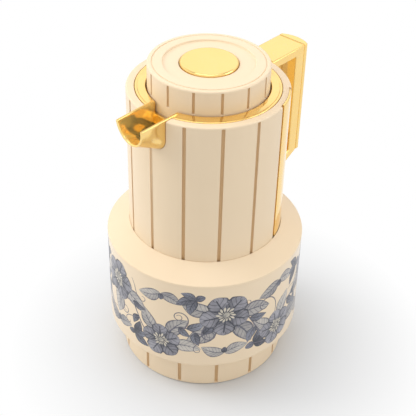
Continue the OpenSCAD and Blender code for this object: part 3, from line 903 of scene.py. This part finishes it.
# The handle. A closed plated frame: its strap lies on the neck and is screwed on from
# inside, its edges are softened all round, and a crowned plate closes the grip's back.
HANDLE_HALF = 12.5
GRIP_JOINT = 95.2
JOINT_GAP = 0.02
GRIP_OUT = 102
HANDLE_TOP = 232.5
HANDLE_LOW = 120.8
HANDLE_STEPS = 12
STRAP_X = 61.9
GRIP_X = 85.6
GAP_TOP = 225.7
PLATE_LOW = 139
CROWN = 23
outer_loop = [(NECK_SEAT_R, HANDLE_TOP), (GRIP_JOINT - JOINT_GAP, HANDLE_TOP),
              (GRIP_JOINT - JOINT_GAP, 139.3), (59, HANDLE_LOW), (NECK_SEAT_R, HANDLE_LOW)]
inner_loop = [(STRAP_X, GAP_TOP), (GRIP_X, GAP_TOP), (GRIP_X, 142.2), (STRAP_X, 130.1)]
handle_points = []
for i in range(HANDLE_STEPS + 1):
    y = -HANDLE_HALF + 2 * HANDLE_HALF * i / HANDLE_STEPS
    for x, z in outer_loop + inner_loop:
        handle_points.append((math.sqrt(NECK_SEAT_R ** 2 - y * y) if x == NECK_SEAT_R else x, y, z))
ring = len(outer_loop + inner_loop)
ends = []
for base in (0, HANDLE_STEPS * ring):
    for loop in ((0, 1, 6, 5), (1, 2, 7, 6), (2, 3, 8, 7), (3, 4, 0, 5, 8)):
        ends.append(tuple(base + n for n in loop))
sides = []
for base in range(0, HANDLE_STEPS * ring, ring):
    for loop in ((0, 1, 2, 3, 4), (5, 6, 7, 8)):
        for n, m in zip(loop, loop[1:] + loop[:1]):
            sides.append((base + n, base + m, base + ring + m, base + ring + n))
handle = solid("handle", handle_points, ends + sides, gold_plate)
soften(handle, 1.1)
seat(handle, "case", "gold_plate", "handle_frame")

plan = [(GRIP_JOINT + JOINT_GAP, -HANDLE_HALF)]
for i in range(17):
    y = -HANDLE_HALF + 2 * HANDLE_HALF * i / 16
    plan.append((GRIP_OUT - CROWN + math.sqrt(CROWN ** 2 - y * y), y))
plan.append((GRIP_JOINT + JOINT_GAP, HANDLE_HALF))
plate_rings = [[(x, y, z) for x, y in plan] for z in (PLATE_LOW, HANDLE_TOP)]
plate = prism("handle_back", *plate_rings, gold_plate)
soften(plate, 0.7)
seat(plate, "case", "gold_plate", "handle_back_plate")

# The mouth ring. A white moulding that seats the glass liner's mouth in the well. The
# stopper turns into the single-start thread in its bore.
LINER_LIP = 205
THREAD_PITCH = 3.2
RING_BORE = 21.7
RING_THREAD = 0.75
RING_R = 27.2
RING_FLANGE = 214.5
RING_FLANGE_R = 33
RING_STEP = 212.6
RING_STEP_R = 24
white_plastic = moulded_plastic("white_plastic", (0.80, 0.79, 0.76, 1), (0.75, 0.74, 0.71, 1), 0.4, 0.00002)


def thread(angle, z):
    """How far into the thread's groove a point lies: 0 on the land, 1 in the groove."""
    return max(0, min(1, 0.5 + 1.6 * math.cos(math.tau * (z / THREAD_PITCH - angle / 360))))


def levels(r, low, high):
    """Points straight up or down at that radius, close enough to carry a thread."""
    count = round(abs(high - low) / 0.25)
    return [(r, low + (high - low) * i / count) for i in range(count + 1)]


def mouth_radius(angle, r, z):
    """The ring's radius, with the groove of the thread in its bore."""
    if r != RING_BORE:
        return r
    return r + RING_THREAD * thread(angle, z) * fade(z, 206, 211.8, 0.6)


mouth_outline = rounded([
    (RING_BORE, LINER_LIP, 0.3), (RING_R, LINER_LIP), (RING_R, WELL_FLOOR), (RING_FLANGE_R, WELL_FLOOR),
    (RING_FLANGE_R, RING_FLANGE, 0.6), (RING_STEP_R, RING_FLANGE, 0.4), (RING_STEP_R, RING_STEP),
    (RING_BORE, RING_STEP, 0.3)])
mouth_outline += levels(RING_BORE, 212.2, 205.4)
mouth_ring = turned("mouth_ring_moulding", mouth_outline, white_plastic, None, mouth_radius)
seat(mouth_ring, "case", "white_plastic", "mouth_ring")

# The stopper. A white barrel under the cap, with a thread that screws into the mouth
# ring, a flange that presses the seal down and six ports that let the drink out.
BARREL_R = 19
BARREL_IN_R = 16.8
BARREL_LOW = 188
STEM_BORE = 3.1
HUB_R = 5.2
DECK_R = 40.6
THREAD_R = 21.35
THREAD_LOW = 205.5
THREAD_HIGH = 212.25
STOPPER_THREAD = 1.5
STOPPER_DECK = 221
STOPPER_TOP = 223.5
PORTS = 6
PORT_HALF = 4.5
PORT_LOW = 216.8
PORT_TOP = 220.8
PORT_IN_R = 14.6
PORT_OUT_R = 21.2


def stopper_radius(angle, r, z):
    """The barrel's radius, cut down between the turns of its thread."""
    if r != THREAD_R:
        return r
    return r - STOPPER_THREAD * (1 - thread(angle, z)) * fade(z, 206.6, 211.2, 0.6)


barrel_outline = rounded([
    (STEM_BORE, 214, 0.2), (HUB_R, 214, 0.4), (HUB_R, STOPPER_DECK), (BARREL_IN_R, STOPPER_DECK),
    (BARREL_IN_R, BARREL_LOW, 0.4), (BARREL_R, BARREL_LOW, 0.6), (BARREL_R, THREAD_LOW, 0.3),
    (THREAD_R, THREAD_LOW, 0.5)])
head_outline = rounded([
    (THREAD_R, THREAD_HIGH, 0.5), (BARREL_R, THREAD_HIGH), (BARREL_R, RING_FLANGE),
    (23.7, RING_FLANGE, 0.4), (23.7, 216.3, 0.5), (BARREL_R, 216.3, 0.3), (BARREL_R, STOPPER_DECK),
    (DECK_R, STOPPER_DECK, 0.3), (DECK_R, STOPPER_TOP, 0.3), (HUB_R, STOPPER_TOP, 0.5),
    (HUB_R, 228, 0.4), (STEM_BORE, 228, 0.2)])
stopper_outline = barrel_outline + levels(THREAD_R, 206.1, 211.7) + head_outline
stopper = turned("stopper_moulding", stopper_outline, white_plastic, None, stopper_radius)
corners, port_faces = [], []
for k in range(PORTS):
    turn = math.tau * k / PORTS
    side, front = math.cos(turn), math.sin(turn)
    for x in (PORT_IN_R, PORT_OUT_R):
        for way, z in ((-1, PORT_LOW), (1, PORT_LOW), (1, PORT_TOP), (-1, PORT_TOP)):
            y = way * PORT_HALF
            corners.append((x * side - y * front, x * front + y * side, z))
    port_faces += [tuple(8 * k + n for n in face) for face in tube_faces(4, 2)]
cut_away(stopper, solid("port_cutter", corners, port_faces, white_plastic))
seat(stopper, "stopper", "white_plastic", "stopper_body")

# The button's spring. A coil of steel wire between the stopper's top plate and the
# plunger under the button; in the jug it shortens as the button goes down, here it keeps one length and
# rides with the stopper.
SPRING_FOOT = STOPPER_TOP
SPRING_TOP = 244.4
SPRING_R = 8
SPRING_TURNS = 6.0
WIRE_R = 0.5


def wire_coil():
    """Geometry Nodes: a round wire wound into a coil that stands on its foot."""
    tree, given, result = geometry_tree("wire_coil", "Coil", Turns="Float", Radius="Float",
                                        Height="Float", Wire_radius="Float", Foot="Float", Wire="Material")
    path = add(tree, "GeometryNodeCurveSpiral", Resolution=36)
    section = add(tree, "GeometryNodeCurvePrimitiveCircle", Resolution=12)
    swept = add(tree, "GeometryNodeCurveToMesh", Fill_Caps=True)
    lift = add(tree, "ShaderNodeCombineXYZ")
    placed = add(tree, "GeometryNodeTransform")
    real = add(tree, "GeometryNodeRealizeInstances")
    finished = add(tree, "GeometryNodeSetMaterial")
    wire(tree, (given, "Turns", path, "Rotations"), (given, "Radius", path, "Start Radius"),
         (given, "Radius", path, "End Radius"), (given, "Height", path, "Height"),
         (given, "Wire radius", section, "Radius"), (path, "Curve", swept, "Curve"),
         (section, "Curve", swept, "Profile Curve"), (given, "Foot", lift, "Z"),
         (lift, "Vector", placed, "Translation"), (swept, "Mesh", placed, "Geometry"),
         (placed, "Geometry", real, "Geometry"), (real, "Geometry", finished, "Geometry"),
         (given, "Wire", finished, "Material"), (finished, "Geometry", result, "Coil"))
    return tree


steel = moulded_plastic("steel", (0.62, 0.62, 0.63, 1), (0.52, 0.52, 0.53, 1), 0.24, 0.00001, Metallic=1)
spring = linked("spring_coil", bpy.data.meshes.new("spring_coil"))
clearance = WIRE_R + 0.05
grow(spring, wire_coil(), Turns=SPRING_TURNS, Radius=SPRING_R * MM, Wire_radius=WIRE_R * MM, Wire=steel,
     Height=(SPRING_TOP - SPRING_FOOT - 2 * clearance) * MM, Foot=(SPRING_FOOT + clearance) * MM)
spring.data.shade_smooth()
seat(spring, "stopper", "steel", "button_spring")
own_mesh(spring)

# The cap. The cream top of the stopper, fluted like the neck but turned two degrees
# from it. A fine line runs round its lip, and a shallow dish holds the button.
CAP_R = 42.9
CAP_IN_R = 40.7
CAP_LOW = 217.5
CAP_UNDER = 246.7
CAP_TOP = 250.8
CAP_FLUTE_LOW = 233.5
CAP_FLUTE_TOP = 249
DISH = 249.5
BUTTON_HOLE = 20.95
CAP_FLUTE_WIDTH = 2.6
CAP_FLUTE_DEPTH = 1.3
CAP_TURN = 2.2
cap_outline = rounded([
    (CAP_IN_R, CAP_LOW, 0.5), (CAP_R, CAP_LOW, 0.7), (CAP_R, 233), (CAP_R, CAP_FLUTE_LOW),
    (CAP_R, CAP_FLUTE_TOP), (CAP_R, CAP_TOP, 1.3), (39.9, CAP_TOP, 0.15), (39.7, 250.2), (39.2, 250.2),
    (39.0, CAP_TOP, 0.15), (32.4, CAP_TOP, 0.4), (32.0, DISH, 0.3), (BUTTON_HOLE, DISH, 0.5),
    (BUTTON_HOLE, CAP_UNDER), (CAP_IN_R, CAP_UNDER, 1)])
cap_flutes = fluted(CAP_R, CAP_FLUTE_LOW, CAP_FLUTE_TOP, 0.5, CAP_FLUTE_WIDTH, CAP_FLUTE_DEPTH, CAP_TURN)
cap = turned("cap", cap_outline, cream_plastic, flute_angles(CAP_FLUTE_WIDTH, CAP_TURN), cap_flutes)
seat(cap, "stopper", "cream_plastic", "cap_shell")

# The button. A plated disc with a rounded edge in the middle of the cap. A thumb
# pushes it down to open the valve.
BUTTON_R = 20.55
BUTTON_IN_R = 18.55
BUTTON_LOW = 246.4
BUTTON_TOP = 251
button_outline = rounded([
    (0, BUTTON_TOP), (BUTTON_R, BUTTON_TOP, 1.5), (BUTTON_R, BUTTON_LOW), (BUTTON_IN_R, BUTTON_LOW),
    (BUTTON_IN_R, 249), (0, 249)], 8)
button = turned("button", button_outline, gold_plate)
seat(button, "button", "gold_plate", "button_disc")

# The inner pieces keep their exact solids: the white plunger and valve disc, silicone
# washers, the silvered glass liner and its rubber supports, and the steel stem and screws.
silicone = moulded_plastic("silicone", (0.60, 0.59, 0.56, 1), (0.54, 0.53, 0.50, 1), 0.55, 0.00003)
silvered_glass = moulded_plastic("silvered_glass", (0.80, 0.82, 0.84, 1), (0.74, 0.76, 0.78, 1),
                                 0.08, 0.000004, Metallic=1)
inner_finishes = {
    white_plastic: ("button_plunger", "valve_plate"),
    silicone: ("mouth_gasket", "stopper_gasket", "valve_gasket"),
    steel: ("handle_screws", "valve_stem"),
    silvered_glass: ("liner_outer", "liner_inner"),
    rubber: ("liner_spacers", "liner_centering_ring", "liner_cushion"),
}
for finish, names in inner_finishes.items():
    for name in names:
        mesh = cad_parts[name].data
        mesh.materials.clear()
        mesh.materials.append(finish)

# The table. A pale floor under the jug: it is greyer near the foot, a painted shadow round a middle
# set a little off the foot's centre, and it takes the real soft shadow there; it runs out to plain white.
FLOOR_ENDS = (-6, 6)
# Painted shadow on the floor: its middle, and the distances over which it fades to white.
SHADE_MIDDLE = (0.004, -0.018, 0)
SHADE_NEAR = 0.06
SHADE_FAR = 0.174
floor_mesh = bpy.data.meshes.new("floor")
floor_mesh.from_pydata([(x, y, 0) for x in FLOOR_ENDS for y in FLOOR_ENDS], [], [(0, 2, 3, 1)])
floor = linked("floor", floor_mesh)
floor_paper, tree, paper = new_material("floor_paper")
fill(paper, Base_Color=(0.64, 0.65, 0.66, 1), Roughness=0.7)
white = add(tree, "ShaderNodeEmission")
place = add(tree, "ShaderNodeTexCoord")
rays = add(tree, "ShaderNodeLightPath")
distance = add(tree, "ShaderNodeVectorMath", "DISTANCE")
distance.inputs[1].default_value = SHADE_MIDDLE
away = add(tree, "ShaderNodeMapRange", From_Min=SHADE_NEAR, From_Max=SHADE_FAR)
blend = add(tree, "ShaderNodeMixShader")
seen = maths(tree, "MAXIMUM", rays.outputs["Is Camera Ray"], rays.outputs["Is Glossy Ray"])
tree.links.new(maths(tree, "MULTIPLY", seen, away.outputs["Result"]), blend.inputs["Fac"])
wire(tree, (place, "Object", distance, 0), (distance, "Value", away, "Value"),
     (paper, "BSDF", blend, 1), (white, "Emission", blend, 2),
     (blend, "Shader", tree.nodes["Material Output"], "Surface"))
floor_mesh.materials.append(floor_paper)

# The studio. A pale room that is white to the camera, a wide soft box overhead and a
# little behind the jug, and a smaller one on each side.
world = bpy.data.worlds.new("studio")
bpy.context.scene.world = world
world.use_nodes = True
tree = world.node_tree
ambient = fill(tree.nodes["Background"], Color=(1, 1, 1, 1), Strength=0.8)
shown = add(tree, "ShaderNodeBackground", Color=(1, 1, 1, 1), Strength=1)
mirrored = add(tree, "ShaderNodeBackground", Strength=1)
way = add(tree, "ShaderNodeTexCoord")
height = add(tree, "ShaderNodeSeparateXYZ")
bands = add(tree, "ShaderNodeValToRGB")
ramp = bands.color_ramp
ramp.elements[0].color = (0.8, 0.7, 0.55, 1)
ramp.elements[1].color = (0.63, 0.63, 0.63, 1)
for at, grey in ((0.1, 0.55), (0.2, 0.85), (0.36, 1.25), (0.6, 1.22), (0.78, 0.65)):
    stop = ramp.elements.new(at)
    stop.color = (grey, grey, grey, 1)
rays = add(tree, "ShaderNodeLightPath")
to_camera, to_gloss = add(tree, "ShaderNodeMixShader"), add(tree, "ShaderNodeMixShader")
mirror_ray = maths(tree, "MAXIMUM", rays.outputs["Is Glossy Ray"], rays.outputs["Is Transmission Ray"])
tree.links.new(mirror_ray, to_gloss.inputs["Fac"])
wire(tree, (way, "Generated", height, "Vector"), (height, "Z", bands, "Fac"),
     (bands, "Color", mirrored, "Color"), (ambient, "Background", to_gloss, 1),
     (mirrored, "Background", to_gloss, 2), (rays, "Is Camera Ray", to_camera, "Fac"),
     (to_gloss, "Shader", to_camera, 1), (shown, "Background", to_camera, 2),
     (to_camera, "Shader", tree.nodes["World Output"], "Surface"))

for name, place, aim, size, power in (
        ("top_box", (-0.08, -0.02, 1.25), (0, 0, 0.1), 0.9, 3.6),
        ("left_box", (-0.55, 0.9, 0.75), (0, 0, 0.12), 0.6, 7),
        ("right_box", (0.6, -0.95, 0.65), (0, 0, 0.12), 0.7, 2.6)):
    box_light = bpy.data.lights.new(name, "AREA")
    box_light.size = size
    box_light.energy = power
    lamp = linked(name, box_light)
    lamp.location = place
    lamp.rotation_euler = (Vector(aim) - Vector(place)).to_track_quat("-Z", "Y").to_euler()
    lamp.visible_glossy = name != "left_box"
bpy.context.scene.view_settings.view_transform = "Standard"

# The camera. It looks down on the jug from its spout side, so that the cap, the
# plated rim, the handle and the print all show.
CAMERA_AT = Vector((-0.4376, -0.3790, 0.5594))
CAMERA_AIM = Vector((0.0013, -0.0015, 0.1250))
CAMERA_ROLL = 1.587
lens = bpy.data.cameras.new("camera")
lens.sensor_fit = "HORIZONTAL"
lens.sensor_width = 36
lens.lens = 81.98
camera = linked("camera", lens)
camera.location = CAMERA_AT
look = (CAMERA_AIM - CAMERA_AT).to_track_quat("-Z", "Y")
roll = Quaternion((0, 0, 1), math.radians(CAMERA_ROLL))
camera.rotation_euler = (look @ roll).to_euler()
bpy.context.scene.camera = camera
